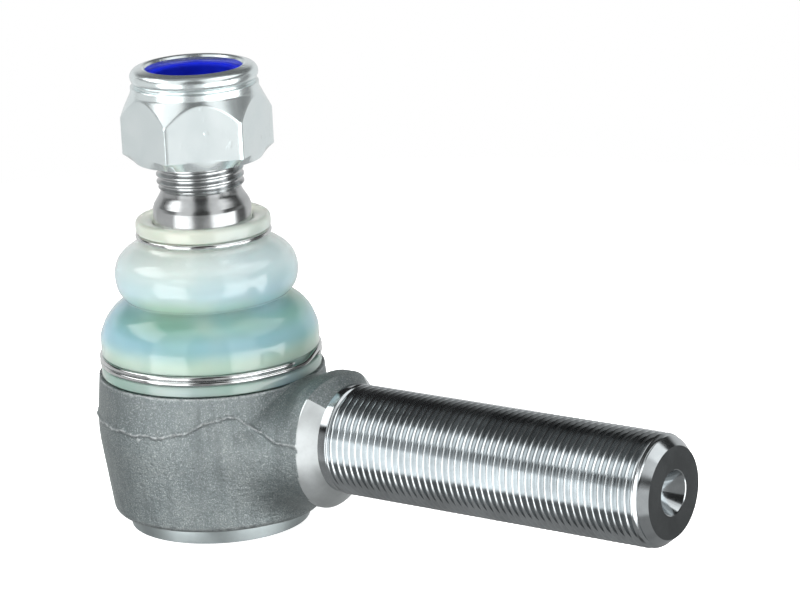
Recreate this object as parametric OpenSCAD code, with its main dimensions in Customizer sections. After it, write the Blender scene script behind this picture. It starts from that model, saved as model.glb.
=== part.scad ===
// Tie rod end for a heavy vehicle: forged socket with a threaded shank,
// ball stud in split bearing shells, sealing boot and self-locking nut.
// Millimetres. +Z runs up the ball stud, +X runs along the threaded shank.
// The origin is the centre of the base rim, on the stud axis.

/* [Ball joint] */
// Diameter of the ball
ball_diameter = 37; // [30:0.5:46]
// Wall of the bearing shells at the ball's equator
shell_wall = 3; // [2:0.1:4]
// Steel between the bearing bore and the widest part of the socket
socket_wall = 10.45; // [7:0.05:14]
// Largest swing of the stud away from its rest direction, in degrees
max_swing = 20; // [12:1:25]

/* [Stud] */
// Large diameter of the stud's taper, the size the joint is sold by
cone_size = 30; // [24:1:36]
// Length of the stud's taper
taper_length = 33.1; // [26:0.1:40]
// Length of thread on the stud
stud_thread_length = 27; // [22:0.5:34]

/* [Shank] */
// Nominal diameter of the shank's thread
shank_diameter = 30; // [24:0.5:36]
// Distance from the stud axis to the end of the shank
shank_reach = 148; // [110:1:180]
// Pitch of both threads
thread_pitch = 2; // [1.5:0.5:3]

/* [Boot] */
// Wall of the boot's two bulges
boot_wall = 1.2; // [0.9:0.1:1.8]
// Wire of the clamp ring and of the neck ring
ring_wire = 1.4; // [1:0.1:1.8]

/* [Hidden] */
$fn = 96;

// Clearances
run_gap = 0.05;
end_gap = 0.3;
ring_gap = 0.02;
swing_gap = 0.5;

// Ball and bearing bore
ball_r = ball_diameter / 2;
shell_r = ball_r + shell_wall;
bore_r = shell_r + run_gap;
seat_r = ball_r + run_gap;
ball_flat_depth = 0.9;

// Stack under the ball, counted up from the base rim
rim_lip = 1.25;
cover_thickness = 3;
seal_wire = 1.9;
plate_thickness = 2;
rim_lip_reach = 1.6;
cover_r = bore_r + 1.4;
cover_top = rim_lip + cover_thickness;
bore_step = cover_top + seal_wire + run_gap;
spring_height = 3.8;
spring_thickness = 1.6;
plate_bottom = cover_top + spring_height;
plate_top = plate_bottom + plate_thickness;
shell_floor = 0.45;
ball_height = plate_top + shell_floor + ball_r;

// Socket
socket_r = bore_r + socket_wall;
top_r = socket_r - 1;
wall_foot_r = socket_r - 3;
wall_foot = 4.3;
rim_r = cover_r + 1.8;
rim_flare = 0.6;
rim_height = 3.8;
socket_top = ball_height + 0.757 * ball_r;
spigot_r = top_r - 3.15;
spigot_top = ball_height + ball_r + 1.5;
seat_edge = ball_height + 0.55 * ball_r;
seat_cone = 3.6;

// Stud below its taper: a waisted neck that flares out once it is clear of the socket
taper_r = cone_size / 2;
neck_r = 0.3667 * cone_size;
flare_r = taper_r - 2.5;
flare_height = 1;
flare_length = 6;

// Socket opening, wide enough for the ball's edge and for the swung neck and flare
ball_edge_r = sqrt(pow(seat_r, 2) - pow(seat_edge - ball_height, 2));
lip_open_r = max(swept_radius(seat_edge, neck_r), ball_edge_r + 1);
mouth_open_r = swept_radius(spigot_top, flare_r);
mouth_reach = mouth_open_r * sin(max_swing) + (spigot_top - ball_height) * cos(max_swing);

// Stud from its taper to its end
taper_start = ball_height + mouth_reach + flare_height;
taper_end = taper_start + taper_length;
taper_slope = 1 / 20;
thread_r = 0.4 * cone_size;
lead_length = 4.8;
lead_waist = thread_r - 1.1;
lead_flare = 2.6;
end_bevel = 1.2;
stud_thread_start = taper_end + lead_length;
stud_end = stud_thread_start + stud_thread_length;

// Shank
shank_r = shank_diameter / 2;
neck_block_r = shank_r * 1.24;
neck_drop = 1.3;
shoulder_x = socket_r + 9;
relief_x = shoulder_x + 5.3;
shank_thread_start = relief_x + 2.7;
end_chamfer = 3;
end_face_r = shank_r - 2.8;
relief_r = shank_r - 0.3;
centre_hole_r = 0.39 * shank_r;
pilot_r = 2;
pilot_depth = 16;

// Thread form, 60 degree flanks
thread_depth = 0.58 * thread_pitch;
crest_flat = 0.16 * thread_pitch;
root_flat = thread_pitch - crest_flat - 2 * thread_depth * tan(30);

// Boot, which runs from the socket's top to just under the stud's lead-in
boot_base = socket_top + 0.1;
lip_height = 5.1;
lip_width = 4.9;
lip_crown = 1.5;
boot_top = taper_end - 4.3;
lip_bottom = boot_top - lip_height;
lip_r = stud_radius(boot_top) + lip_width;
boot_span = lip_bottom - boot_base;
clamp_seat_r = spigot_r + 1.25;
skirt_r = spigot_r + 2.35;
skirt_top = boot_base + 3;
clamp_low = skirt_top + ring_wire / 2 + run_gap;
clamp_high = clamp_low + ring_wire * 0.98;
clamp_r = clamp_seat_r + ring_wire / 2 + run_gap;
bulge_start = clamp_high + ring_wire / 2 + 0.2;
low_bulge_r = 0.345 * boot_span;
low_bulge_z = boot_base + 0.237 * boot_span;
low_bulge_x = skirt_r - low_bulge_r - 0.2;
groove_z = boot_base + 0.568 * boot_span;
high_bulge_r = 0.226 * boot_span;
high_bulge_z = groove_z + 0.19 * boot_span;
high_bulge_x = low_bulge_x - 0.3;
fold_x = low_bulge_x + 2.9;
collar_foot = high_bulge_z + 0.17 * boot_span;
neck_ring_z = lip_bottom + 1.6;
neck_ring_r = lip_r - ring_wire / 2 - 0.02;

// Nut, run up the thread until its insert meets the stud's end
nut_flats = 3 * thread_r;
nut_r = nut_flats / 2;
nut_corner_r = nut_r * 1.128;
nut_collar_r = nut_r * 0.967;
insert_bottom = stud_end + end_gap;
nut_bottom = insert_bottom - 1.6 * thread_r;
nut_top = nut_bottom + 1.44 * nut_flats / 2;
collar_height = 8.2;
corner_slope_height = 6;
crimp_height = 3.3;
insert_recess = 2.1;
corner_top = nut_top - collar_height - corner_slope_height;
collar_bottom = nut_top - collar_height;
crimp_bottom = nut_top - crimp_height;
insert_top = nut_top - insert_recess;
insert_r = nut_collar_r - 2.4;
insert_bore_r = thread_r - 1;
mouth_r = insert_bore_r + 2.2;

function stud_radius(z) = taper_r - (z - taper_start) * taper_slope;

function ring_at(z) = [0, 0, z];

// Radius that part of the stud of radius r reaches at height z when fully swung
function swept_radius(z, r) =
    (z - ball_height) * tan(max_swing) + (r + swing_gap) / cos(max_swing);

// One tooth gap of a thread, as a 2D shape outside radius r - thread_depth
module thread_gap(r) {
    half_root = root_flat / 2;
    half_mouth = (thread_pitch - crest_flat) / 2;
    over = 1;
    polygon([
        [r - thread_depth, -half_root],
        [r, -half_mouth],
        [r + over, -half_mouth],
        [r + over, half_mouth],
        [r, half_mouth],
        [r - thread_depth, half_root]
    ]);
}

// Ring grooves standing for a thread of radius r from z = start to z = end
module thread_grooves(r, start, end) {
    count = floor((end - start) / thread_pitch);
    for (i = [0 : count - 1]) {
        translate([0, start + (i + 0.5) * thread_pitch]) thread_gap(r);
    }
}

// Torus of wire about the stud axis
module wire_ring(centre_r, wire, z) {
    translate(ring_at(z)) rotate_extrude() translate([centre_r, 0]) circle(d = wire, $fn = 32);
}

module socket_outline() {
    polygon([
        [0, 0],
        [rim_r, 0],
        [rim_r + rim_flare, rim_height],
        [wall_foot_r, wall_foot],
        [socket_r, ball_height],
        [top_r, socket_top],
        [spigot_r, socket_top],
        [spigot_r, spigot_top],
        [0, spigot_top]
    ]);
}

module socket_hollow() {
    polygon([
        [0, -1],
        [cover_r - rim_lip_reach, -1],
        [cover_r - rim_lip_reach, rim_lip - run_gap],
        [cover_r + run_gap, rim_lip - run_gap],
        [cover_r + run_gap, bore_step],
        [bore_r, bore_step],
        [bore_r, seat_edge - seat_cone],
        [lip_open_r, seat_edge],
        [mouth_open_r, spigot_top],
        [mouth_open_r, spigot_top + 1],
        [0, spigot_top + 1]
    ]);
}

// Profile of the shank along x: relief groove, thread and end chamfer
module shank_outline() {
    difference() {
        polygon([
            [0, shoulder_x],
            [relief_r, shoulder_x],
            [relief_r, shank_thread_start],
            [shank_r, shank_thread_start],
            [shank_r, shank_reach - end_chamfer],
            [end_face_r, shank_reach],
            [0, shank_reach]
        ]);
        thread_grooves(shank_r, shank_thread_start, shank_reach - end_chamfer);
    }
}

// Revolves a profile about the shank axis
module about_shank() {
    translate(ring_at(ball_height)) rotate([90, 0, 90]) rotate_extrude() children();
}

// Forged neck, a little below the shank axis, turned to a cone at its end
module neck() {
    start = 5;
    cone_r = neck_block_r + neck_drop + 0.3;
    seat_height = 20;
    difference() {
        intersection() {
            translate([start, 0, ball_height - neck_drop]) rotate([0, 90, 0])
                cylinder(r = neck_block_r, h = relief_x);
            about_shank() polygon([
                [0, 0],
                [cone_r, 0],
                [cone_r, shoulder_x],
                [relief_r - 0.05, relief_x],
                [0, relief_x]
            ]);
        }
        translate(ring_at(socket_top)) cylinder(r = top_r, h = seat_height);
    }
}

module centre_hole() {
    cone_depth = centre_hole_r / tan(30);
    polygon([
        [0, shank_reach - pilot_depth],
        [pilot_r, shank_reach - pilot_depth],
        [pilot_r, shank_reach - cone_depth + pilot_r / tan(30)],
        [centre_hole_r, shank_reach],
        [centre_hole_r, shank_reach + 1],
        [0, shank_reach + 1]
    ]);
}

module housing() {
    color("#7d8282") difference() {
        union() {
            rotate_extrude() socket_outline();
            neck();
            about_shank() shank_outline();
        }
        rotate_extrude() socket_hollow();
        about_shank() centre_hole();
    }
}

module closure_cover() {
    color("#8c8f90") translate(ring_at(rim_lip)) difference() {
        cylinder(r = cover_r, h = cover_thickness);
        translate([0, 0, -1]) cylinder(r = cover_r * 0.72, h = 2);
    }
}

module cover_seal() {
    seal_r = seal_wire / 2 + ring_gap;
    color("#202020") wire_ring(cover_r - seal_r, seal_wire, cover_top + seal_r);
}

// Conical spring washer between the cover and the pressure plate
module disc_spring() {
    inner_r = 0.42 * shell_r;
    outer_r = 0.9 * shell_r;
    low = cover_top + ring_gap;
    high = plate_bottom - run_gap;
    color("#55585a") rotate_extrude() polygon([
        [inner_r, high - spring_thickness],
        [outer_r, low],
        [outer_r, low + spring_thickness],
        [inner_r, high]
    ]);
}

module pressure_plate() {
    color("#9a9c9c") translate(ring_at(plate_bottom)) difference() {
        cylinder(r = shell_r, h = plate_thickness);
        translate([0, 0, -1]) cylinder(r = 0.2 * shell_r, h = plate_thickness + 2);
    }
}

module lower_bearing_shell() {
    color("#d8d2bf") difference() {
        translate(ring_at(plate_top)) cylinder(r = shell_r, h = ball_height - end_gap - plate_top);
        translate(ring_at(ball_height)) sphere(r = seat_r);
        translate(ring_at(0)) cylinder(r = 0.36 * ball_r, h = ball_height);
    }
}

module upper_bearing_shell() {
    height = seat_edge - ball_height - 2 * run_gap;
    color("#d8d2bf") difference() {
        translate(ring_at(ball_height)) rotate_extrude() polygon([
            [0, end_gap],
            [shell_r, end_gap],
            [shell_r, height - seat_cone],
            [lip_open_r, height],
            [0, height]
        ]);
        translate(ring_at(ball_height)) sphere(r = seat_r);
    }
}

module stud_outline() {
    difference() {
        polygon([
            [0, ball_height],
            [neck_r, ball_height],
            [neck_r, taper_start - flare_length],
            [flare_r, taper_start - flare_height],
            [taper_r, taper_start],
            [stud_radius(taper_end), taper_end],
            [lead_waist, taper_end + lead_flare],
            [lead_waist, stud_thread_start],
            [thread_r, stud_thread_start],
            [thread_r, stud_end - end_bevel],
            [thread_r - end_bevel, stud_end],
            [0, stud_end]
        ]);
        thread_grooves(thread_r, stud_thread_start, stud_end - end_bevel);
    }
}

module ball_stud() {
    ball_bottom = ball_height - ball_r;
    color("#b9bcbc") difference() {
        union() {
            rotate_extrude() stud_outline();
            translate(ring_at(ball_height)) sphere(r = ball_r);
        }
        translate(ring_at(ball_bottom - 1)) cylinder(r = ball_r, h = 1 + ball_flat_depth);
    }
}

// Band of one boot bulge between two heights
module bulge_band(centre_x, centre_z, outer, low, high) {
    intersection() {
        translate([centre_x, centre_z]) difference() {
            circle(r = outer);
            circle(r = outer - boot_wall);
        }
        translate([fold_x, low]) square([outer * 2, high - low]);
    }
}

module boot_lip() {
    slope = boot_wall * 1.4;
    foot_x = high_bulge_x + sqrt(pow(high_bulge_r, 2) - pow(collar_foot - high_bulge_z, 2));
    inner_gap = 0.1;
    polygon([
        [foot_x, collar_foot],
        [lip_r, lip_bottom + 0.4],
        [lip_r, boot_top + 0.4],
        [lip_r - 1, boot_top + lip_crown - 0.2],
        [lip_r - 3, boot_top + lip_crown],
        [stud_radius(boot_top) + inner_gap, boot_top],
        [stud_radius(lip_bottom) + inner_gap, lip_bottom],
        [lip_r - 1, lip_bottom - 0.5],
        [foot_x - slope, collar_foot - 0.3]
    ]);
}

module dust_boot() {
    color("#cfe0dc") rotate_extrude() difference() {
        union() {
            translate([spigot_r + run_gap, boot_base])
                square([skirt_r - spigot_r - run_gap, skirt_top - boot_base]);
            translate([spigot_r + run_gap, boot_base])
                square([clamp_seat_r - spigot_r - run_gap, bulge_start + 0.8 - boot_base]);
            bulge_band(low_bulge_x, low_bulge_z, low_bulge_r, bulge_start, groove_z + 1);
            bulge_band(high_bulge_x, high_bulge_z, high_bulge_r, groove_z - 1, collar_foot);
            boot_lip();
        }
        translate([neck_ring_r, neck_ring_z]) circle(d = ring_wire + 0.1, $fn = 32);
    }
}

module boot_clamp_ring() {
    color("#c9ced0") union() {
        wire_ring(clamp_r, ring_wire, clamp_low);
        wire_ring(clamp_r, ring_wire, clamp_high);
    }
}

module boot_neck_ring() {
    color("#c9ced0") wire_ring(neck_ring_r, ring_wire, neck_ring_z);
}

// Turned outline of the nut, which trims the hexagon's corners
module nut_outline() {
    foot_chamfer = 2.6;
    crimp_round = 2.2;
    difference() {
        union() {
            polygon([
                [0, nut_bottom],
                [nut_collar_r - 0.4, nut_bottom],
                [nut_corner_r, nut_bottom + foot_chamfer],
                [nut_corner_r, corner_top],
                [nut_collar_r + 0.1, collar_bottom],
                [nut_collar_r, crimp_bottom],
                [0, crimp_bottom]
            ]);
            translate([0, crimp_bottom]) square([nut_collar_r - 0.15, nut_top - crimp_bottom - crimp_round]);
            translate([0, crimp_bottom]) square([nut_collar_r - 0.15 - crimp_round, nut_top - crimp_bottom]);
            translate([nut_collar_r - 0.15 - crimp_round, nut_top - crimp_round]) circle(r = crimp_round);
        }
        translate([0, nut_bottom - 1]) square([thread_r + run_gap, nut_top]);
        translate([0, insert_bottom - run_gap]) square([insert_r + run_gap, insert_top - insert_bottom + 2 * run_gap]);
        translate([0, insert_bottom]) square([mouth_r, nut_top]);
    }
}

module lock_nut() {
    hex_corner = nut_flats / sqrt(3);
    hex_turn = 43.4;
    color("#d3dadb") intersection() {
        rotate_extrude() nut_outline();
        translate(ring_at(nut_bottom - 1)) rotate(hex_turn)
            cylinder(r = hex_corner, h = nut_top - nut_bottom + 2, $fn = 6);
    }
}

module nylon_insert() {
    height = insert_top - insert_bottom;
    color("#1430c0") translate(ring_at(insert_bottom)) difference() {
        cylinder(r = insert_r, h = height);
        translate([0, 0, -1]) cylinder(r = insert_bore_r, h = height + 2);
    }
}

housing();
closure_cover();
cover_seal();
disc_spring();
pressure_plate();
lower_bearing_shell();
upper_bearing_shell();
ball_stud();
dust_boot();
boot_clamp_ring();
boot_neck_ring();
lock_nut();
nylon_insert();
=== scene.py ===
"""Looks of the tie rod end: forged socket and threaded shank, ball stud, boot, wire rings and lock nut."""
import math

import bmesh
import bpy
import numpy as np
from mathutils import Matrix, Vector


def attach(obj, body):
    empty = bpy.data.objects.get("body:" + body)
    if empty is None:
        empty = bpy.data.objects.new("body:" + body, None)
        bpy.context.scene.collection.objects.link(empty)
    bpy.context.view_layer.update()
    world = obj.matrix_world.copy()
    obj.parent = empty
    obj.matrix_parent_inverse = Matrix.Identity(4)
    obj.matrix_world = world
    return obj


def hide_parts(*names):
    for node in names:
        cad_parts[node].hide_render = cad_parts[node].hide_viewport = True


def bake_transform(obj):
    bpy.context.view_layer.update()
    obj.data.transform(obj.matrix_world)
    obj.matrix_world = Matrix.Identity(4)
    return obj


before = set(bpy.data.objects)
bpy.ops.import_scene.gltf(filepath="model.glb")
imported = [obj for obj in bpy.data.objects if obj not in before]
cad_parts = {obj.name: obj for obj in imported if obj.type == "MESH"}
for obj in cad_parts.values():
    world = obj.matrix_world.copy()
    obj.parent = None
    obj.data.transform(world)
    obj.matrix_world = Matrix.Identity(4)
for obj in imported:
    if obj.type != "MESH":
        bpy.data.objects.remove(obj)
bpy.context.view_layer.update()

# Meshes are drawn in millimetres and scaled once when they become Blender objects.
MM = 0.001

# Sizes shared by several pieces, in millimetres
BALL_HEIGHT = 29.0
BALL_R = 18.5
PITCH = 2.0
THREAD_DEPTH = 0.58 * PITCH
CREST_FLAT = 0.16 * PITCH
RUN_GAP = 0.05
SOCKET_FOOT = 4.3
SOCKET_TOP = 43.0
SPIGOT_R = 27.85
SPIGOT_TOP = 49.0
SHOULDER_R = 20.0
SHOULDER_X = 41.0
RELIEF_X = 46.3
SHANK_R = 15.0
SHANK_THREAD_X = 48.6
SHANK_END = 148.0
CONE_R = 15.0
TAPER_START = 56.0
TAPER_END = 89.0
STUD_THREAD_R = 12.0
STUD_THREAD_Z = 93.9
STUD_END = 120.9


# ---------------------------------------------------------------- mesh tools

def add_piece(name, verts, faces, materials, body, sharp=35):
    """A mesh object in the row frame from points in millimetres, riding on a body."""
    mesh = bpy.data.meshes.new(name)
    mesh.from_pydata((np.asarray(verts, float) * MM).tolist(), [], [list(f) for f in faces])
    for material in materials:
        mesh.materials.append(material)
    mesh.validate()
    piece = bpy.data.objects.new(name, mesh)
    bpy.context.scene.collection.objects.link(piece)
    weld(piece, 1e-7)
    smooth(piece, sharp)
    if body is not None:
        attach(piece, body)
    return piece


def weld(piece, distance):
    """Joins points closer than a distance in metres and faces all outwards."""
    bm = bmesh.new()
    bm.from_mesh(piece.data)
    bmesh.ops.remove_doubles(bm, verts=bm.verts, dist=distance)
    bmesh.ops.dissolve_degenerate(bm, dist=distance, edges=bm.edges)
    bmesh.ops.recalc_face_normals(bm, faces=bm.faces)
    bm.to_mesh(piece.data)
    bm.free()


def smooth(piece, sharp):
    """Smooth shading with edges over an angle in degrees kept sharp."""
    piece.data.shade_smooth()
    piece.data.set_sharp_from_angle(angle=math.radians(sharp))


def grid_faces(rows, columns):
    """Quads over rows x columns points, joined round each row."""
    quads = []
    for i in range(rows - 1):
        for j in range(columns):
            k = (j + 1) % columns
            quads.append((i * columns + j, i * columns + k, (i + 1) * columns + k, (i + 1) * columns + j))
    return quads


def revolve(profile, segments, reshape=None, close=True):
    """Points and quads of a profile of (radius, height) turned about Z."""
    profile = np.asarray(profile, float)
    angles = np.linspace(0, 2 * math.pi, segments, endpoint=False)
    r = profile[:, 0][:, None] * np.ones(segments)
    z = profile[:, 1][:, None] * np.ones(segments)
    a = angles[None, :] * np.ones(len(profile))[:, None]
    if reshape is not None:
        r, z = reshape(r, z, a)
    verts = np.stack([r * np.cos(a), r * np.sin(a), z], -1).reshape(-1, 3)
    faces = grid_faces(len(profile), segments)
    if close:
        n, m = segments, (len(profile) - 1) * segments
        faces += [(m + j, m + (j + 1) % n, (j + 1) % n, j) for j in range(n)]
    return verts, faces


def to_shank(verts):
    """Turns points drawn about Z so that Z becomes the shank's axis."""
    verts = np.asarray(verts, float)
    return np.stack([verts[:, 2], verts[:, 1], BALL_HEIGHT - verts[:, 0]], -1)


def ease(t):
    """Smooth rise from 0 to 1 as t goes from 0 to 1."""
    t = np.clip(t, 0, 1)
    return t * t * (3 - 2 * t)


def soft_min(a, b, k):
    """Smaller of a and b with their crossing rounded over a width k."""
    h = np.clip(0.5 + 0.5 * (b - a) / k, 0, 1)
    return b + (a - b) * h - k * h * (1 - h)


def curve(knots, per_span):
    """Catmull-Rom curve through (radius, height) knots."""
    p = np.asarray(knots, float)
    p = np.vstack([2 * p[0] - p[1], p, 2 * p[-1] - p[-2]])
    out = []
    for i in range(1, len(p) - 2):
        for s in range(per_span):
            t = s / per_span
            out.append(0.5 * (2 * p[i] + (p[i + 1] - p[i - 1]) * t
                              + (2 * p[i - 1] - 5 * p[i] + 4 * p[i + 1] - p[i + 2]) * t * t
                              + (3 * p[i] - p[i - 1] - 3 * p[i + 1] + p[i + 2]) * t ** 3))
    out.append(p[-2])
    return np.array(out)


def arc(cx, cy, r, start, end, steps):
    """Points of an arc, angles in degrees."""
    a = np.radians(np.linspace(start, end, steps))
    return [(cx + r * math.cos(t), cy + r * math.sin(t)) for t in a]


def thread_radius(crest_r, phase):
    """Radius of a 60 degree thread at a phase of 0 to 1 along one pitch."""
    from_crest = np.abs(phase - 0.5) * PITCH
    slope = (from_crest - CREST_FLAT / 2) / math.tan(math.radians(30))
    return crest_r - np.clip(slope, 0, THREAD_DEPTH)


def helix(outline, crest_r, start, end, segments, rows, inner=False, fade=1.0):
    """Helical thread from z = start to end, cut into a turned outline(z).

    Points lie on lines that climb one pitch per turn, so that crests and roots stay clean.
    """
    step = PITCH / rows
    count = int(math.ceil((end - start) / step)) + rows + 1
    i = np.arange(count)[:, None]
    j = np.arange(segments)[None, :]
    raw = start - PITCH + i * step + PITCH * j / segments
    z = np.clip(raw, start, end)
    phase = np.mod((z - PITCH * j / segments) / PITCH, 1.0)
    tooth = thread_radius(crest_r, phase)
    runout = ease((z - start) / fade)
    tooth = crest_r + (tooth - crest_r) * runout
    r = np.maximum(outline(z), tooth) if inner else np.minimum(outline(z), tooth)
    a = 2 * math.pi * j / segments + 0 * z
    verts = np.stack([r * np.cos(a), r * np.sin(a), z], -1).reshape(-1, 3)
    faces = []
    for m in range(count - 1):
        for n in range(segments):
            if n < segments - 1:
                quad = [(m, n), (m, n + 1), (m + 1, n + 1), (m + 1, n)]
            elif m + 1 + rows < count:
                quad = [(m, n), (m + rows, 0), (m + 1 + rows, 0), (m + 1, n)]
            else:
                continue
            if z[quad[0]] == z[quad[1]] == z[quad[2]] == z[quad[3]]:
                continue
            faces.append([p * segments + q for p, q in quad])
    return verts, faces


def merged(*parts):
    """One list of points and one of faces from several."""
    verts, faces = [], []
    for v, f in parts:
        base = sum(len(x) for x in verts)
        verts.append(np.asarray(v, float))
        faces += [[k + base for k in face] for face in f]
    return np.vstack(verts), faces


def cap(ring_radius, z, segments):
    """Disc that closes a ring of points about Z."""
    a = np.linspace(0, 2 * math.pi, segments, endpoint=False)
    verts = np.stack([ring_radius * np.cos(a), ring_radius * np.sin(a), z + 0 * a], -1)
    verts = np.vstack([verts, [[0, 0, z]]])
    faces = [(j, (j + 1) % segments, segments) for j in range(segments)]
    return verts, faces


# ---------------------------------------------------------------- material tools

class Shader:
    """A procedural material built round one Principled BSDF, in object coordinates."""

    def __init__(self, name):
        self.material = bpy.data.materials.new(name)
        self.material.use_nodes = True
        self.tree = self.material.node_tree
        self.bsdf = self.tree.nodes["Principled BSDF"]
        self.coords = self.add("ShaderNodeTexCoord").outputs["Object"]

    def add(self, kind, **inputs):
        node = self.tree.nodes.new(kind)
        for key, value in inputs.items():
            node.inputs[key.replace("_", " ")].default_value = value
        return node

    def link(self, a, b):
        self.tree.links.new(a, b)

    def stretched(self, scale):
        """Object coordinates scaled apart on each axis, to draw out a pattern."""
        mapping = self.add("ShaderNodeMapping")
        mapping.inputs["Scale"].default_value = scale
        self.link(self.coords, mapping.inputs["Vector"])
        return mapping.outputs["Vector"]

    def noise(self, scale, detail, roughness, stretch=None):
        node = self.add("ShaderNodeTexNoise", Scale=scale, Detail=detail, Roughness=roughness)
        self.link(self.stretched(stretch) if stretch else self.coords, node.inputs["Vector"])
        return node.outputs["Fac"]

    def ramp(self, factor, stops, blend="LINEAR"):
        """Colours or grey levels at places 0 to 1 along a factor."""
        node = self.add("ShaderNodeValToRGB")
        node.color_ramp.interpolation = blend
        elements = node.color_ramp.elements
        while len(elements) < len(stops):
            elements.new(0.5)
        for element, (place, value) in zip(elements, stops):
            element.position = place
            grey = not hasattr(value, "__len__")
            element.color = (value, value, value, 1) if grey else (*value, 1)
        self.link(factor, node.inputs["Fac"])
        return node.outputs["Color"]

    def bump(self, height, strength, distance, previous=None):
        """Adds relief of a depth in millimetres."""
        node = self.add("ShaderNodeBump", Strength=strength, Distance=distance * MM)
        self.link(height, node.inputs["Height"])
        if previous is not None:
            self.link(previous, node.inputs["Normal"])
        return node.outputs["Normal"]

    def mix(self, factor, a, b):
        """Colour a where a factor is 0 and b, a colour or a node's output, where it is 1."""
        factor_input, a_input, b_input, colour_output = 0, 6, 7, 2
        node = self.add("ShaderNodeMix")
        node.data_type = "RGBA"
        self.link(factor, node.inputs[factor_input])
        self.link(a, node.inputs[a_input])
        if hasattr(b, "is_linked"):
            self.link(b, node.inputs[b_input])
        else:
            node.inputs[b_input].default_value = (*b, 1)
        return node.outputs[colour_output]

    def set(self, **inputs):
        """Sockets of the Principled BSDF, each a constant or a node's output."""
        for key, value in inputs.items():
            socket = self.bsdf.inputs[key.replace("_", " ")]
            if hasattr(value, "is_linked"):
                self.link(value, socket)
            elif hasattr(value, "__len__") and len(value) == 3 and socket.type == "RGBA":
                socket.default_value = (*value, 1)
            else:
                socket.default_value = value
        return self


def forged_steel(name, worn):
    """Shot-blasted forging: fine sparkling grain, faint vertical streaks and, if worn, bright edges."""
    s = Shader(name)
    grain = s.noise(2600, 2, 0.6)
    pits = s.noise(900, 5, 0.7)
    streaks = s.noise(420, 4, 0.6, stretch=(1, 1, 0.1))
    patches = s.noise(70, 5, 0.6)
    tone = s.ramp(patches, [(0.3, (0.20, 0.235, 0.24)), (0.7, (0.28, 0.315, 0.315))])
    tone = s.mix(s.ramp(pits, [(0.3, 0.6), (0.5, 0.0)]), tone, (0.12, 0.14, 0.145))
    tone = s.mix(s.ramp(grain, [(0.52, 0.0), (0.66, 0.42)]), tone, (0.66, 0.70, 0.71))
    if worn:
        edges = s.add("ShaderNodeNewGeometry").outputs["Pointiness"]
        rubbed = s.mix(s.ramp(pits, [(0.38, 0.1), (0.58, 0.9)]), tone, (0.72, 0.75, 0.76))
        tone = s.mix(s.ramp(edges, [(0.505, 0.0), (0.545, 0.85)]), tone, rubbed)
    tone = s.mix(s.ramp(streaks, [(0.3, 0.45), (0.5, 0.0)]), tone, (0.15, 0.17, 0.175))
    normal = s.bump(pits, 1.0, 0.32)
    normal = s.bump(grain, 0.9, 0.1, normal)
    s.set(Base_Color=tone, Metallic=1.0, Roughness=s.ramp(pits, [(0.3, 0.4), (0.7, 0.56)]), Normal=normal)
    return s.material


def turned_steel(name, along, tint, rough):
    """Bright machined steel, turned about the axis numbered along, with fine tool marks round it."""
    s = Shader(name)
    flat = tuple(1.0 if k == along else 0.03 for k in range(3))
    marks = s.noise(2600, 2, 0.5, stretch=flat)
    bands = s.noise(420, 3, 0.5, stretch=flat)
    stains = s.noise(90, 6, 0.6)
    dark = tuple(c * 0.78 for c in tint)
    tone = s.ramp(stains, [(0.35, dark), (0.62, tint)])
    normal = s.bump(marks, 0.2, 0.012)
    normal = s.bump(bands, 0.12, 0.02, normal)
    s.set(Base_Color=tone, Metallic=1.0, Roughness=s.ramp(bands, [(0.3, rough[0]), (0.7, rough[1])]),
          Normal=normal)
    return s.material


def zinc_plate():
    """Bright zinc on the nut, pale and slightly blue, with small dings."""
    s = Shader("zinc_plate_bright")
    cloud = s.noise(120, 4, 0.55)
    dings = s.noise(420, 2, 0.5)
    orange_peel = s.noise(900, 3, 0.5)
    tone = s.ramp(cloud, [(0.3, (0.76, 0.84, 0.85)), (0.7, (0.83, 0.90, 0.905))])
    normal = s.bump(orange_peel, 0.12, 0.03)
    normal = s.bump(s.ramp(dings, [(0.24, 0.0), (0.32, 1.0)]), 0.5, 0.05, normal)
    s.set(Base_Color=tone, Metallic=0.92, Roughness=s.ramp(cloud, [(0.3, 0.2), (0.7, 0.262)]), Normal=normal)
    return s.material


def chrome_wire():
    """Bright plated wire with faint drawing marks."""
    s = Shader("ring_wire_bright")
    drawn = s.noise(700, 3, 0.5)
    normal = s.bump(drawn, 0.03, 0.01)
    tone = s.ramp(drawn, [(0.3, (0.62, 0.64, 0.64)), (0.7, (0.70, 0.72, 0.72))])
    s.set(Base_Color=tone, Metallic=1.0, Roughness=s.ramp(drawn, [(0.3, 0.06), (0.7, 0.12)]), Normal=normal)
    return s.material


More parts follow.
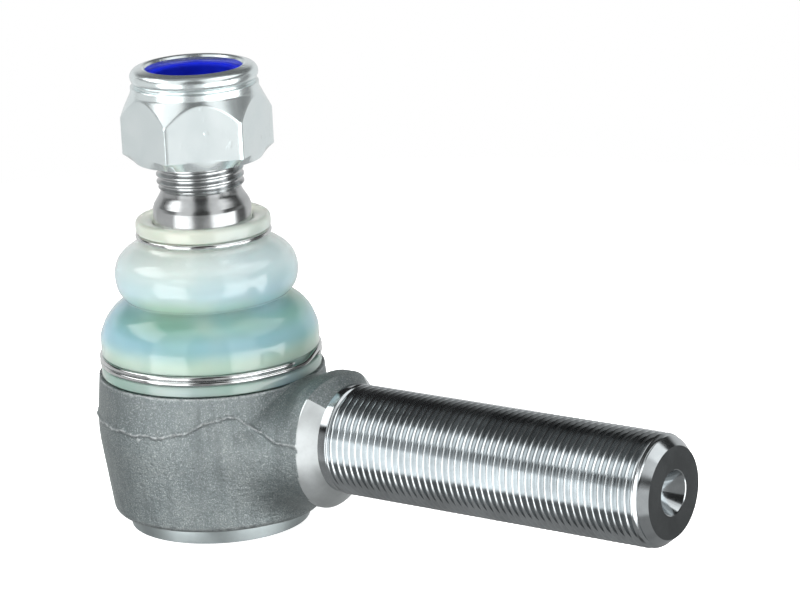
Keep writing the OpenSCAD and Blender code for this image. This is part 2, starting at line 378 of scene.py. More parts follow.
def boot_polyurethane():
    """Milky translucent boot, cream at the lip, with a wet gloss; its blue and green patches and darker lower
    fold are painted shade of the dark stud seen through it.
    """
    s = Shader("boot_translucent")
    split = s.add("ShaderNodeSeparateXYZ")
    s.link(s.coords, split.inputs["Vector"])
    height = s.add("ShaderNodeMapRange", From_Min=SOCKET_TOP * MM, From_Max=(SOCKET_TOP + 44) * MM)
    s.link(split.outputs["Z"], height.inputs["Value"])
    # From the clamped skirt at 0 to the top of the lip at 1
    skirt = [(0.10, (0.42, 0.53, 0.49)), (0.17, (0.52, 0.66, 0.56))]
    # The lower fold's darker blue and green are painted shade of the dark stud seen through the boot.
    lower_fold = [(0.30, (0.33, 0.55, 0.60)), (0.43, (0.24, 0.44, 0.35)), (0.50, (0.46, 0.64, 0.52))]
    upper_fold = [(0.60, (0.53, 0.67, 0.68)), (0.78, (0.66, 0.73, 0.70))]
    lip = [(0.90, (0.72, 0.76, 0.67)), (1.0, (0.74, 0.77, 0.67))]
    bands = s.ramp(height.outputs["Result"], skirt + lower_fold + upper_fold + lip, "EASE")
    tint = s.noise(30, 1, 0.4)
    veil = s.noise(62, 1, 0.4)
    fine = s.noise(1400, 3, 0.5)
    # Blue and dark green patches: painted shade of the dark stud seen through the boot.
    base = s.mix(s.ramp(tint, [(0.40, 0.0), (0.75, 0.9)], "EASE"), bands, (0.34, 0.58, 0.78))
    base = s.mix(s.ramp(tint, [(0.22, 0.8), (0.46, 0.0)], "EASE"), base, (0.17, 0.40, 0.30))
    base = s.mix(s.ramp(veil, [(0.45, 0.0), (0.85, 0.6)], "EASE"), base, (0.74, 0.77, 0.62))
    # The upper fold and the lip are milkier, with less of the painted see-through shade.
    base = s.mix(s.ramp(height.outputs["Result"], [(0.48, 0.0), (0.66, 0.75)], "EASE"), base, bands)
    normal = s.bump(fine, 0.05, 0.02)
    s.set(Base_Color=base, Roughness=s.ramp(veil, [(0.3, 0.31), (0.7, 0.4)]), Normal=normal,
          Transmission_Weight=0.55, IOR=1.2, Subsurface_Weight=0.35, Subsurface_Scale=0.002,
          Subsurface_Radius=(0.7, 1.0, 0.95), Coat_Weight=1.0, Coat_Roughness=0.04, Coat_IOR=1.6)
    return s.material


def nylon():
    """Deep blue moulded nylon, slightly hazy."""
    s = Shader("blue_nylon_moulded")
    haze = s.noise(300, 4, 0.5)
    fine = s.noise(1600, 3, 0.5)
    tone = s.ramp(haze, [(0.3, (0.001, 0.006, 0.30)), (0.7, (0.002, 0.012, 0.42))])
    s.set(Base_Color=tone, Roughness=s.ramp(haze, [(0.3, 0.45), (0.7, 0.6)]), Normal=s.bump(fine, 0.1, 0.03),
          Specular_IOR_Level=0.12)
    return s.material


def sheet_steel(name, light, rough):
    """Pressed or ground steel of the inner pieces."""
    s = Shader(name)
    scuffs = s.noise(500, 5, 0.6, stretch=(1, 0.2, 1))
    stains = s.noise(80, 5, 0.6)
    dark = tuple(c * 0.7 for c in light)
    s.set(Base_Color=s.ramp(stains, [(0.35, dark), (0.65, light)]), Metallic=1.0,
          Roughness=s.ramp(scuffs, [(0.3, rough), (0.7, rough + 0.2)]), Normal=s.bump(scuffs, 0.3, 0.03))
    return s.material


def seal_rubber():
    """Black rubber with a fine grain."""
    s = Shader("seal_rubber_black")
    grain = s.noise(1800, 4, 0.6)
    s.set(Base_Color=s.ramp(grain, [(0.3, 0.015), (0.7, 0.03)]),
          Roughness=s.ramp(grain, [(0.3, 0.5), (0.7, 0.7)]), Normal=s.bump(grain, 0.3, 0.03))
    return s.material


def acetal():
    """Off-white bearing plastic with faint flow marks."""
    s = Shader("bearing_acetal")
    grain = s.noise(600, 4, 0.5)
    flow = s.noise(70, 3, 0.5)
    s.set(Base_Color=s.ramp(flow, [(0.3, (0.74, 0.70, 0.58)), (0.7, (0.83, 0.80, 0.70))]),
          Roughness=s.ramp(grain, [(0.3, 0.35), (0.7, 0.5)]), Normal=s.bump(grain, 0.15, 0.04),
          Subsurface_Weight=0.2, Subsurface_Scale=0.002)
    return s.material


# ---------------------------------------------------------------- forging

def wall_radius(z):
    """Socket wall: drafted outwards to the widest place, then in to the top."""
    foot_r = 29.05
    top_r = 31.0
    lower_draft = 0.136
    upper_draft = 0.085
    lower = foot_r + lower_draft * (z - SOCKET_FOOT)
    upper = top_r + upper_draft * (SOCKET_TOP - z)
    return soft_min(lower, upper, 0.9)


def parting_height(angle):
    """Height of the flash line on the socket at an angle from the shank, in degrees."""
    level = 31.9
    hump = 5.6
    hump_angle = 45
    turn = np.abs(angle) - hump_angle
    width = np.where(turn > 0, 21.0, 12.5)
    return level + hump * np.exp(-(turn / width) ** 2)


def socket_field(x, y, z):
    """Signed distance, near enough, to the drafted socket with its rounded foot."""
    corner = 1.6
    draft_cosine = 0.99
    side = (np.hypot(x, y) - wall_radius(z)) * draft_cosine
    below = SOCKET_FOOT - z
    inset = np.maximum(side + corner, below + corner)
    foot = np.hypot(np.maximum(side + corner, 0), np.maximum(below + corner, 0)) - corner
    socket = np.where((side > -corner) & (below > -corner), foot, inset - corner)
    return np.maximum(socket, z - SOCKET_TOP)


def neck_field(x, y, z):
    """Signed distance, near enough, to the neck from inside the socket to past the shoulder."""
    neck_r = 18.6
    neck_z = BALL_HEIGHT - 1.3
    neck_start = 5
    neck_end = 50
    # The neck's upper half is necked down beside the wall, leaving a valley at the fillet.
    waist = 2.6 * ease((z - 34) / 8) * (1 - ease((x - 33) / 7))
    # Above its middle the neck is squarer than a circle.
    power = 2 + 0.35 * ease((z - neck_z) / 6)
    neck = (np.abs(y) ** power + np.abs(z - neck_z) ** power) ** (1 / power) - neck_r + waist
    neck = np.maximum(neck, x - neck_end)
    return np.maximum(neck, neck_start - x)


def flash_relief(x, y, z):
    """Height of the ragged flash ridge, and the upper die's slight overhang over it."""
    neck_line = 31.0
    ridge_height = 0.46
    ridge_width = 0.5
    overhang = 0.05
    angle = np.degrees(np.arctan2(y, x))
    line = parting_height(angle)
    line = line + (neck_line - line) * ease((x - 30) / 6)
    line = line + 0.25 * np.sin(angle * 0.41) + 0.07 * np.sin(angle * 1.1 + 2)
    ragged = 1 + 0.35 * np.sin(angle * 0.9) * np.sin(angle * 0.37 + 1)
    ridge = ridge_height * ragged * np.exp(-((z - line) / ridge_width) ** 2)
    return ridge, overhang * ease((z - line) / 0.8 + 0.5)


def forging_field(x, y, z):
    """Signed distance, near enough, to the forged socket with its neck and flash line."""
    # The fillet between socket and neck is wide below and tightens towards the top.
    fillet = 1.4 + 7.0 * ease((36 - z) / 8)
    body = soft_min(socket_field(x, y, z), neck_field(x, y, z), fillet)
    ridge, overhang = flash_relief(x, y, z)
    return body - ridge - overhang


def isosurface(field, low, high, step):
    """Quads over the zero level of a field, one point per crossed cell."""
    axes = [np.arange(a, b + step, step) for a, b in zip(low, high)]
    values = field(*np.meshgrid(*axes, indexing="ij"))
    shape = np.array(values.shape) - 1
    total = np.zeros((*shape, 3))
    hits = np.zeros(shape)
    quads = []
    for axis in range(3):
        a = np.take(values, range(values.shape[axis] - 1), axis)
        b = np.take(values, range(1, values.shape[axis]), axis)
        found = np.argwhere((a < 0) != (b < 0))
        va, vb = a[tuple(found.T)], b[tuple(found.T)]
        places = found.astype(float)
        places[:, axis] += va / (va - vb)
        u, v = [k for k in range(3) if k != axis]
        cells = []
        for du, dv in ((0, 0), (1, 0), (1, 1), (0, 1)):
            cell = found.copy()
            cell[:, u] -= du
            cell[:, v] -= dv
            cells.append(cell)
        inside = np.all([np.all((c >= 0) & (c < shape), 1) for c in cells], 0)
        for cell in cells:
            np.add.at(total, tuple(cell[inside].T), places[inside])
            np.add.at(hits, tuple(cell[inside].T), 1)
        quads.append(np.stack([np.ravel_multi_index(c[inside].T, shape) for c in cells], 1))
    quads = np.vstack(quads)
    used, faces = np.unique(quads, return_inverse=True)
    points = total.reshape(-1, 3)[used] / hits.reshape(-1, 1)[used]
    points = points * step + np.array(low)
    return points, faces.reshape(-1, 4)


def settled(points, field):
    """Moves points onto the zero level of a field by three Newton steps."""
    e = 0.02
    for _ in range(3):
        x, y, z = points.T
        value = field(x, y, z)
        slope = np.stack([field(x + e, y, z) - field(x - e, y, z),
                          field(x, y + e, z) - field(x, y - e, z),
                          field(x, y, z + e) - field(x, y, z - e)], -1) / (2 * e)
        size = np.maximum((slope ** 2).sum(1), 0.2)
        points = points - slope * (value / size)[:, None]
    return points


def plain_solid(name, profile, segments, along_shank=False):
    """A turned cutter or core, used only in booleans."""
    verts, faces = revolve(profile, segments, close=profile[0][0] > 0)
    if along_shank:
        verts = to_shank(verts)
    return add_piece(name, verts, faces, [], None)


def combine(target, tool, operation):
    """Applies a boolean and removes the tool."""
    modifier = target.modifiers.new("join", "BOOLEAN")
    modifier.operation = operation
    modifier.solver = "EXACT"
    modifier.object = tool
    bpy.context.view_layer.update()
    graph = bpy.context.evaluated_depsgraph_get()
    mesh = bpy.data.meshes.new_from_object(target.evaluated_get(graph), depsgraph=graph)
    target.modifiers.clear()
    old = target.data
    target.data = mesh
    bpy.data.meshes.remove(old)
    bpy.data.objects.remove(tool)


# Places of the forging's finishes in its list of materials
BLASTED, BORED, TURNED, RAW = range(4)


def build_forging(finishes):
    """Socket, neck and machined shoulder, with its finishes in the order of the constants above."""
    points, faces = isosurface(forging_field, (-34, -34, 2), (52, 34, 49), 0.5)
    points = settled(points, forging_field)
    piece = add_piece("housing_forging", points, faces, finishes, None)
    # The spigot and rim are turned, the shoulder is turned to a cone and the socket is bored.
    far = 60
    past_end = 70
    rim_r = 25.35
    rim_top = 6
    mouth_r = 21.35
    cover_r = 23.0
    cover_low = 1.2
    cover_top = 6.2
    bore_r = 21.55
    waist_r = 16.5
    top_r = 21.1
    relief_r = 14.3
    outer_r = SHOULDER_R + 6
    wall_r = 31.2
    spigot_foot = 40
    core = [(0, 0), (rim_r - 0.6, 0), (rim_r, 3.8), (rim_r, rim_top), (0, rim_top)]
    hollow = [(0, -1), (mouth_r, -1), (mouth_r, cover_low), (cover_r, cover_low), (cover_r, cover_top),
              (bore_r, cover_top), (bore_r, 35.6), (waist_r, 39.2), (top_r, SPIGOT_TOP), (top_r, far), (0, far)]
    spigot = [(0, spigot_foot), (SPIGOT_R, spigot_foot), (SPIGOT_R, SPIGOT_TOP - 0.4),
              (SPIGOT_R - 0.4, SPIGOT_TOP), (0, SPIGOT_TOP)]
    top_cut = [(SPIGOT_R, SOCKET_TOP), (wall_r, SOCKET_TOP), (wall_r, far), (SPIGOT_R, far)]
    cone = [(outer_r, SHOULDER_X - 5.95), (SHOULDER_R, SHOULDER_X - 0.2), (relief_r, RELIEF_X + 0.2),
            (relief_r, past_end), (outer_r, past_end)]
    end_cut = [(0, RELIEF_X + 0.1), (40, RELIEF_X + 0.1), (40, 80), (0, 80)]
    combine(piece, plain_solid("top_cut", top_cut, 128), "DIFFERENCE")
    combine(piece, plain_solid("core", core, 192), "UNION")
    combine(piece, plain_solid("spigot", spigot, 192), "UNION")
    combine(piece, plain_solid("cone", cone, 256, True), "DIFFERENCE")
    combine(piece, plain_solid("end_cut", end_cut, 64, True), "DIFFERENCE")
    combine(piece, plain_solid("hollow", hollow, 128), "DIFFERENCE")
    mark_finishes(piece)
    smooth(piece, 38)
    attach(piece, "housing")
    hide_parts("housing")
    return piece


def mark_finishes(piece):
    """Gives each face of the forging its finish."""
    rim_top = 3.85
    inside_r = 28.0
    for face in piece.data.polygons:
        x, y, z = (c / MM for c in face.center)
        from_axis = math.hypot(y, z - BALL_HEIGHT)
        cone_r = SHOULDER_R - (x - SHOULDER_X + 0.2)
        # The shoulder's cone gets the bright turned finish, but for its upper side, which gets the darker
        # forged finish.
        if x > SHOULDER_X - 6 and abs(from_axis - cone_r) < 0.25:
            face.material_index = TURNED if z - BALL_HEIGHT < 0.74 * from_axis else RAW
        elif z < rim_top or math.hypot(x, y) < inside_r:
            face.material_index = BORED
        else:
            face.material_index = BLASTED


def build_shank(turned):
    """Shoulder relief, long thread, chamfered end and centre hole, drawn about Z and laid along X."""
    segments = 144
    end_r = SHANK_R - 2.85
    chamfer_start = SHANK_END - 3.0
    foot_r = 13.0
    foot_start = 38
    relief_r = 14.72
    hole_r = 2.0
    hole_end = SHANK_END - 16

    def outline(z):
        chamfer = SHANK_R - 0.3 - (z - chamfer_start) * 0.83
        rounded = soft_min(np.full_like(z, SHANK_R), chamfer, 0.9)
        return np.maximum(rounded, end_r)

    thread = helix(outline, SHANK_R, SHANK_THREAD_X, SHANK_END, segments, 14, fade=1.4)
    foot_profile = [(foot_r, foot_start), (14.6, 42), (relief_r, 45), (relief_r, SHANK_THREAD_X - 0.35),
                    (SHANK_R, SHANK_THREAD_X)]
    foot = revolve(foot_profile, segments, close=False)
    end_edge = float(outline(np.array([SHANK_END]))[0])
    end_profile = [(end_edge, SHANK_END), (6.1, SHANK_END), (5.86, SHANK_END - 0.15),
                   (hole_r, SHANK_END - 6.8), (hole_r, hole_end)]
    end = revolve(end_profile, segments, close=False)
    start_cap = cap(foot_r, foot_start, segments)
    hole_floor = cap(hole_r, hole_end, segments)
    verts, faces = merged(thread, foot, end, start_cap, hole_floor)
    return add_piece("housing_shank", to_shank(verts), faces, [turned], "housing", sharp=24)


# ---------------------------------------------------------------- stud

def taper_radius(z):
    """Radius of the 1:10 taper at a height."""
    return CONE_R - (z - TAPER_START) / 20


def build_stud(ground):
    """Ball with a flat foot, neck, taper, waisted lead-in, thread and centred end."""
    segments = 128
    foot = 17.6
    neck_r = 11.0
    lead_r = 10.9
    end_bevel = 1.2
    centre_r = 2.6

    def outline(z):
        lead = lead_r + (z - STUD_THREAD_Z) * 0.9
        bevel = STUD_THREAD_R - (z - (STUD_END - end_bevel))
        body = np.full_like(z, STUD_THREAD_R - 0.08)
        return np.minimum(np.minimum(lead, body), bevel)

    thread = helix(outline, STUD_THREAD_R, STUD_THREAD_Z, STUD_END, segments, 14)
    bottom = math.degrees(math.asin(-foot / BALL_R))
    top = math.degrees(math.acos(neck_r / BALL_R))
    profile = [(0, BALL_HEIGHT - foot), (5.64, BALL_HEIGHT - foot)]
    profile += arc(0, BALL_HEIGHT, BALL_R, bottom, top, 56)
    profile += [(neck_r, 46.5), (neck_r, 50.0), (11.15, 52.0), (11.7, 54.0), (12.6, 55.0)]
    profile += [(CONE_R, TAPER_START)]
    profile += [(taper_radius(TAPER_END), TAPER_END), (taper_radius(TAPER_END) - 0.1, TAPER_END + 0.2)]
    lead_in = [(13.05, 89.9), (12.5, 90.8), (11.9, 91.75), (11.3, 92.8), (lead_r, STUD_THREAD_Z)]
    profile += list(curve(lead_in, 5))
    body = revolve(profile, segments, close=False)
    end_profile = [(STUD_THREAD_R - end_bevel, STUD_END), (centre_r, STUD_END),
                   (centre_r - 0.2, STUD_END - 0.15), (0, STUD_END - 3.4)]
    end = revolve(end_profile, segments, close=False)
    verts, faces = merged(thread, body, end)
    piece = add_piece("ball_stud_turned", verts, faces, [ground], "stud", sharp=24)
    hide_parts("ball_stud")
    return piece


# ---------------------------------------------------------------- nut

def build_nut(zinc):
    """Hexagon with chamfered corners, crimped collar and a threaded bore."""
    segments = 288
    hex_turn = math.radians(43.4)
    flat_r = 18.0
    corner_r = 20.66
    corner_limit = 20.75
    face_r = 16.6
    mouth_r = 12.6
    collar_r = 17.4
    groove_r = collar_r - 0.85
    bead_r = 2.2
    seat_r = 15.05
    bottom = 102.0
    top = bottom + 25.9
    corner_low = bottom + 2.7
    corner_top = top - 13.2
    corner_slope = 6.2
    slope_top = corner_top + corner_slope
    seat_floor = top - 6.75
    thread_top = top - 7.4
    outer = [(face_r, bottom), (17.4, bottom + 0.25), (corner_r, corner_low)]
    outer += [(corner_r, corner_low + (corner_top - corner_low) * k / 16) for k in range(1, 16)]
    outer += [(corner_r, corner_top)]
    for k in range(1, 25):
        t = k / 24
        outer.append((corner_r + (collar_r + 0.2 - corner_r) * t, corner_top + corner_slope * t))
    # The crimped edge: a groove under a rolled bead, then the mouth over the insert's seat
    outer += [(collar_r + 0.05, slope_top + 0.5), (collar_r, top - 5.2), (collar_r - 0.15, top - 5.0),
              (groove_r, top - 4.75), (groove_r, top - 4.4)]
    outer += arc(collar_r - bead_r, top - 2.5, bead_r, -50, 75, 14)
    outer += [(14.2, top), (13.5, top - 0.25), (13.2, top - 0.8), (13.25, top - 2.05), (seat_r, top - 2.1),
              (seat_r, seat_floor), (12.2, seat_floor), (12.2, thread_top)]

    def hexed(r, z, a):
        # The corner at hex_turn is where the wedge is 0, flats are 30 degrees either side.
        wedge = np.mod(a - hex_turn + math.pi / 6, math.pi / 3) - math.pi / 6
        flat = flat_r / np.cos(np.abs(wedge) - math.pi / 6)
        rounded = soft_min(flat, np.full_like(flat, corner_limit), 0.05)
        return np.where(r > seat_r + 0.45, soft_min(r, rounded, 0.22), r), z

    def bore(z):
        mouth = mouth_r - (z - bottom)
        return np.maximum(mouth, STUD_THREAD_R - THREAD_DEPTH + RUN_GAP + 0.05)

    shell = revolve(outer, segments, hexed, close=False)
    thread = helix(bore, STUD_THREAD_R + RUN_GAP, bottom, thread_top, segments, 8, inner=True, fade=0.01)
    ring = revolve([(mouth_r, bottom), (face_r, bottom)], segments, close=False)
    verts, faces = merged(shell, thread, ring)
    piece = add_piece("lock_nut_hex", verts, faces, [zinc], "nut", sharp=26)
    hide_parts("lock_nut")
    return piece


def build_insert(plastic):
    """Locking ring with a rounded inner edge and a bore smaller than the stud's thread."""
    low = 121.2
    high = 125.8
    outer_r = 15.0
    bore_r = 11.0
    edge = 0.9
    profile = [(bore_r + 0.4, low), (14.9, low), (outer_r, low + 0.2), (outer_r, high), (14.6, high)]
    profile += arc(bore_r + edge, high - edge, edge, 90, 180, 6)
    profile += [(bore_r, low + 0.4)]
    verts, faces = revolve(profile, 128)
    piece = add_piece("nylon_ring", verts, faces, [plastic], "nut_carriage", sharp=40)
    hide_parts("nylon_insert")
    return piece


# ---------------------------------------------------------------- boot and rings

def boot_outside():
    """Outline of the boot's outer side, from the foot of the skirt up to the lip's bore."""
    groove_r = 29.12
    ring_seat_r = 17.3
    skirt = [(28.0, 43.12), (29.9, 43.12), (30.25, 43.4), (30.25, 45.7), (30.0, 46.05), (29.2, 46.2)]
    groove = [(groove_r, 46.5), (groove_r, 48.7), (29.3, 48.95), (29.75, 49.05)]
    lower_fold = [(29.95, 49.3), (30.0, 51.5), (29.95, 54.0), (29.2, 56.3), (28.25, 58.3), (26.7, 60.4),
                  (24.9, 62.0), (23.2, 63.2), (22.35, 63.75)]
    upper_fold = [(22.2, 64.0), (22.5, 64.4), (23.4, 65.2), (24.4, 66.8), (24.95, 68.8), (25.15, 70.8),
                  (24.85, 72.7), (24.1, 74.6), (22.6, 76.4), (20.6, 77.9), (19.0, 78.9), (18.1, 79.8),
                  (17.45, 80.5)]
    ring_seat = [(ring_seat_r, 81.0), (ring_seat_r, 81.6), (17.5, 82.1), (18.0, 82.35)]
    lip = [(18.4, 82.7), (18.5, 83.5), (18.45, 84.9), (18.15, 85.6), (17.4, 86.0), (16.3, 86.0),
           (15.2, 85.8), (14.3, 85.4), (13.75, 84.95)]
    return [*skirt, *groove, *curve(lower_fold, 6), *curve(upper_fold, 6), *ring_seat, *curve(lip, 5)]


def boot_inside():
    """Outline of the boot's inner side, from the lip's bore down to the foot of the skirt."""
    lip_bore = [(13.99, 80.0), (14.05, 79.3)]
    upper_fold = [(15.2, 78.9), (17.0, 78.3), (19.2, 77.1), (21.2, 75.6), (22.8, 73.8), (23.7, 71.2),
                  (23.5, 68.8), (22.7, 67.0), (21.3, 65.4)]
    lower_fold = [(20.9, 64.3), (21.0, 63.0), (23.0, 61.4), (25.5, 59.4), (27.0, 57.4), (28.1, 55.2),
                  (28.6, 53.0), (28.6, 51.0)]
    skirt = [(28.3, 49.6), (27.95, 49.1), (27.95, 43.4)]
    return [*lip_bore, *curve(upper_fold + lower_fold, 4), *skirt]


def build_boot(rubber):
    """Two-fold boot, slightly uneven round its folds."""

    def uneven(r, z, a):
        lift = ease((z - 49.3) / 4) * ease((82.5 - z) / 4)
        wave = 0.10 * np.sin(3 * a + 0.6) + 0.07 * np.sin(5 * a - z * 0.21) + 0.05 * np.sin(8 * a + z * 0.33)
        return r + wave * lift, z + 0.12 * lift * np.sin(2 * a + 1.1)

    verts, faces = revolve(boot_outside() + boot_inside(), 160, uneven)
    piece = add_piece("dust_boot_skin", verts, faces, [rubber], None, sharp=50)
    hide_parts("dust_boot")
    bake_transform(piece)
    return piece


def wire_coil(name, centre_r, wire, low, rings, body, material, start):
    """Round wire about Z in flat turns joined by short steps, with rounded ends a little apart."""
    around = 160
    section = 20
    step_arc = math.radians(20) if rings > 1 else 0.0
    end_gap = math.radians(5.4)
    length = 2 * math.pi * rings - step_arc - end_gap
    count = int(around * length / (2 * math.pi))
    a = np.linspace(0, length, count)
    rise = np.full(count, low)
    for turn in range(1, rings):
        rise = rise + wire * ease((a - 2 * math.pi * turn + step_arc) / step_arc)
    # The first and last few sections shrink to round off the wire's ends.
    rounding = 3.0
    from_end = np.minimum(np.arange(count), np.arange(count)[::-1])
    thinned = np.sqrt(np.clip(1 - (1 - from_end / rounding) ** 2, 0.02, 1))
    thinned = np.where(from_end < rounding, thinned, 1.0)
    t = np.linspace(0, 2 * math.pi, section, endpoint=False)
    r = centre_r + wire / 2 * np.outer(thinned, np.cos(t))
    z = rise[:, None] + wire / 2 * np.outer(thinned, np.sin(t))
    angle = (a + start)[:, None]
    verts = np.stack([r * np.cos(angle), r * np.sin(angle), z], -1).reshape(-1, 3)
    faces = grid_faces(count, section)
    faces.append(list(range(section))[::-1])
    faces.append([(count - 1) * section + k for k in range(section)])
    return add_piece(name, verts, faces, [material], body, sharp=60)


# ---------------------------------------------------------------- studio

def add_softbox(name, location, target, width, height, power):
    """Rectangular lamp facing a target, left out of the steel's reflections."""
    light = bpy.data.lights.new(name, "AREA")
    light.shape = "RECTANGLE"
    light.size, light.size_y = width, height
    light.energy = power
    lamp = bpy.data.objects.new(name, light)
    lamp.location = location
    lamp.rotation_mode = "QUATERNION"
    lamp.rotation_quaternion = (Vector(target) - Vector(location)).to_track_quat("-Z", "Y")
    lamp.visible_glossy = False
    bpy.context.scene.collection.objects.link(lamp)


def add_floor():
    """Pale floor, seen by the camera and lit by the lamps but left out of the steel's reflections."""
    segments = 96
    radius = 600
    level = -0.15
    rim = np.linspace(0, 2 * math.pi, segments, endpoint=False)
    verts = [(radius * math.cos(a), radius * math.sin(a), level) for a in rim]
    s = Shader("studio_floor")
    speckle = s.noise(300, 3, 0.5)
    s.set(Base_Color=s.ramp(speckle, [(0.3, 0.93), (0.7, 0.95)]), Roughness=0.9, Specular_IOR_Level=0.1,
          Emission_Color=(1.0, 1.0, 1.0), Emission_Strength=0.85)
    # The floor thins out to nothing before its edge.
    distance = s.add("ShaderNodeVectorMath")
    distance.operation = "LENGTH"
    s.link(s.coords, distance.inputs[0])
    s.set(Alpha=s.ramp(distance.outputs["Value"], [(0.22, 1.0), (0.42, 0.0)]))
    floor = add_piece("studio_floor", verts, [list(range(segments))], [s.material], None)
    floor.visible_glossy = False
    floor.visible_shadow = False


class World:
    """Studio surroundings as a pattern over the direction of a ray."""

    def __init__(self):
        world = bpy.data.worlds.new("studio")
        bpy.context.scene.world = world
        world.use_nodes = True
        self.tree = world.node_tree
        coords = self.tree.nodes.new("ShaderNodeTexCoord")
        split = self.tree.nodes.new("ShaderNodeSeparateXYZ")
        self.tree.links.new(coords.outputs["Generated"], split.inputs["Vector"])
        self.height = split.outputs["Z"]
        self.turn = self.math("ARCTAN2", split.outputs["Y"], split.outputs["X"])

    def math(self, operation, *values):
        """One step of arithmetic on constants and nodes' outputs."""
        node = self.tree.nodes.new("ShaderNodeMath")
        node.operation = operation
        for socket, value in zip(node.inputs, values):
            if hasattr(value, "is_linked"):
                self.tree.links.new(value, socket)
            else:
                socket.default_value = value
        return node.outputs[0]

    def step(self, value, low, high):
        """0 below low and 1 above high, eased between them."""
        node = self.tree.nodes.new("ShaderNodeMapRange")
        node.interpolation_type = "SMOOTHSTEP"
        node.inputs["From Min"].default_value = low
        node.inputs["From Max"].default_value = high
        self.tree.links.new(value, node.inputs["Value"])
        return node.outputs["Result"]

    def window(self, value, low, high, soft):
        """1 between low and high and 0 outside, with edges softened by soft each way."""
        rise = self.step(value, low - soft, low + soft)
        fall = self.step(value, high - soft, high + soft)
        return self.math("SUBTRACT", rise, fall)

    def bearing(self, low, high, soft):
        """Window over compass directions, in degrees from +X."""
        return self.window(self.turn, math.radians(low), math.radians(high), math.radians(soft))

    def elevation(self, low, high, soft):
        """Window over elevations, in degrees above the horizon."""
        sines = [math.sin(math.radians(v)) for v in (low, high)]
        return self.window(self.height, *sines, math.sin(math.radians(soft)))

    def panel(self, level, elevation, bearing):
        """A level inside windows of elevation and bearing, or all round where there is no bearing."""
        result = self.math("MULTIPLY", self.elevation(*elevation), level)
        if bearing is None:
            return result
        return self.math("MULTIPLY", result, self.bearing(*bearing))


# Panels that the steel reflects: level, then (low, high, soft) of elevation and of bearing in degrees
PANELS = {
    "base": (0.03, (-80, 80, 1), None),
    "low": (0.28, (-80, 19, 3), None),
    "left": (3.0, (-34, 12, 3), (-119, -76, 4)),
    "left_high": (0.95, (12, 74, 3), (-119, -76, 4)),
    "front": (0.45, (-34, 12, 3), (-50, -31, 3)),
    "right": (3.0, (-34, 12, 3), (-31, 30, 3)),
    "right_high": (0.95, (12, 74, 3), (-31, 2, 3)),
    "back_right": (1.5, (36, 74, 3), (2, 60, 3)),
    "far": (0.42, (-30, 24, 4), (68, 180, 5)),
    "back_left": (0.3, (-30, 14, 4), (-179, -128, 5)),
    "ceiling": (2.8, (30, 56, 3), (-174, -119, 4)),
    "crown": (0.35, (68, 90, 6), None),
    "notch": (-0.2, (-34, 12, 4), (36, 64, 4)),
}


def add_world():
    """White backdrop wherever it is looked at, with the panels in its place for every other ray."""
    w = World()
    terms = [w.panel(*panel) for panel in PANELS.values()]
    level = terms[0]
    for term in terms[1:]:
        level = w.math("ADD", level, term)
    white_colour = (1, 1, 1, 1)
    lit = w.tree.nodes["Background"]
    lit.inputs["Color"].default_value = white_colour
    w.tree.links.new(level, lit.inputs["Strength"])
    white = w.tree.nodes.new("ShaderNodeBackground")
    white.inputs["Color"].default_value = white_colour
    path = w.tree.nodes.new("ShaderNodeLightPath")
    # Looked at straight, or through the boot
    seen = w.math("MAXIMUM", path.outputs["Is Camera Ray"], path.outputs["Is Transmission Ray"])
    backdrop = w.tree.nodes.new("ShaderNodeMixShader")
    w.tree.links.new(seen, backdrop.inputs["Fac"])
    w.tree.links.new(lit.outputs["Background"], backdrop.inputs[1])
    w.tree.links.new(white.outputs["Background"], backdrop.inputs[2])
    w.tree.links.new(backdrop.outputs["Shader"], w.tree.nodes["World Output"].inputs["Surface"])


def add_camera():
    """Long lens from the front right, a little above the part and slightly rolled."""
    azimuth = math.radians(36.08)
    elevation = math.radians(15.44)
    roll = math.radians(-2.8)
    place = Vector((0.63956, -0.78853, 0.3393))
    out = math.cos(elevation)
    back = Vector((math.sin(azimuth) * out, -math.cos(azimuth) * out, math.sin(elevation)))
    level = Vector((math.cos(azimuth), math.sin(azimuth), 0))
    upright = back.cross(level)
    right = math.cos(roll) * level + math.sin(roll) * upright
    up = -math.sin(roll) * level + math.cos(roll) * upright
    data = bpy.data.cameras.new("camera")
    data.sensor_width = 36
    data.lens = 172.76
    data.clip_start = 0.01
    data.clip_end = 20
    camera = bpy.data.objects.new("camera", data)
    camera.matrix_world = Matrix.Translation(place) @ Matrix((right, up, back)).transposed().to_4x4()
    bpy.context.scene.collection.objects.link(camera)
    bpy.context.scene.camera = camera


# ---------------------------------------------------------------- assembly

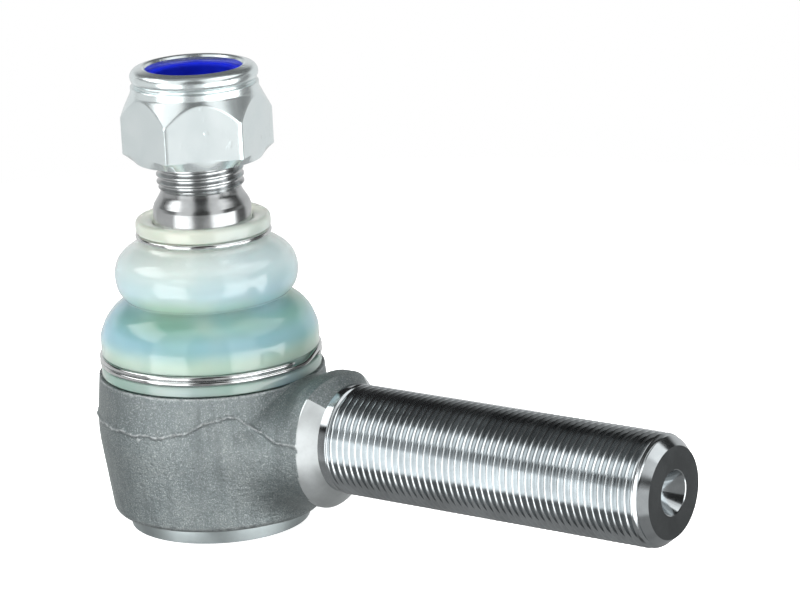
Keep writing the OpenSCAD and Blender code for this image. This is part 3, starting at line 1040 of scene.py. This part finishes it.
def paint_node(node, material):
    """Gives a CAD node, whose shape stays as it is, its procedural finish."""
    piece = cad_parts[node]
    piece.data.materials.clear()
    piece.data.materials.append(material)
    piece.data.shade_smooth()
    piece.data.set_sharp_from_angle(angle=math.radians(30))


X_AXIS = 0
Z_AXIS = 2
socket_steel = turned_steel("forged_steel_bored", Z_AXIS, (0.36, 0.405, 0.41), (0.42, 0.56))
# The shoulder's turned steel has a much paler tint than the rest, partly painted brightness standing in for the
# light on its cone.
shoulder_steel_brightened = turned_steel("forged_steel_shoulder_brightened", X_AXIS, (0.74, 0.785, 0.79), (0.29, 0.4))
shank_steel = turned_steel("forged_steel_turned", X_AXIS, (0.52, 0.555, 0.57), (0.08, 0.18))
stud_steel = turned_steel("ground_steel_turned", Z_AXIS, (0.58, 0.60, 0.605), (0.19, 0.26))
blasted_steel = forged_steel("forged_steel_blasted", worn=True)
raw_steel = forged_steel("forged_steel_raw", worn=False)
build_forging([blasted_steel, socket_steel, shoulder_steel_brightened, raw_steel])
build_shank(shank_steel)
build_stud(stud_steel)
build_nut(zinc_plate())
build_insert(nylon())
build_boot(boot_polyurethane())

WIRE = 1.4
wire_finish = chrome_wire()
clamp = wire_coil("boot_clamp_wire", 29.87, WIRE, 46.85, 2, "housing", wire_finish, 0.4)
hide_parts("boot_clamp_ring")
neck_wire = wire_coil("boot_neck_wire", 17.95, WIRE, 81.4, 1, "boot_neck", wire_finish, 2.4)
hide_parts("boot_neck_ring")

bearing = acetal()
paint_node("closure_cover", sheet_steel("cover_steel_pressed", (0.5, 0.51, 0.51), 0.3))
paint_node("cover_seal", seal_rubber())
paint_node("disc_spring", sheet_steel("spring_steel_oiled", (0.25, 0.26, 0.27), 0.25))
paint_node("pressure_plate", sheet_steel("plate_steel_ground", (0.55, 0.56, 0.56), 0.2))
paint_node("lower_bearing_shell", bearing)
paint_node("upper_bearing_shell", bearing)

add_floor()
add_world()
add_softbox("overhead", location=(0.0, 0.0, 1.5), target=(0.03, 0, 0), width=1.6, height=1.6, power=26)
add_softbox("key", location=(0.1, -1.0, 0.8), target=(0.03, 0, 0.06), width=0.7, height=0.5, power=5)
bpy.context.scene.view_settings.view_transform = "Standard"
add_camera()
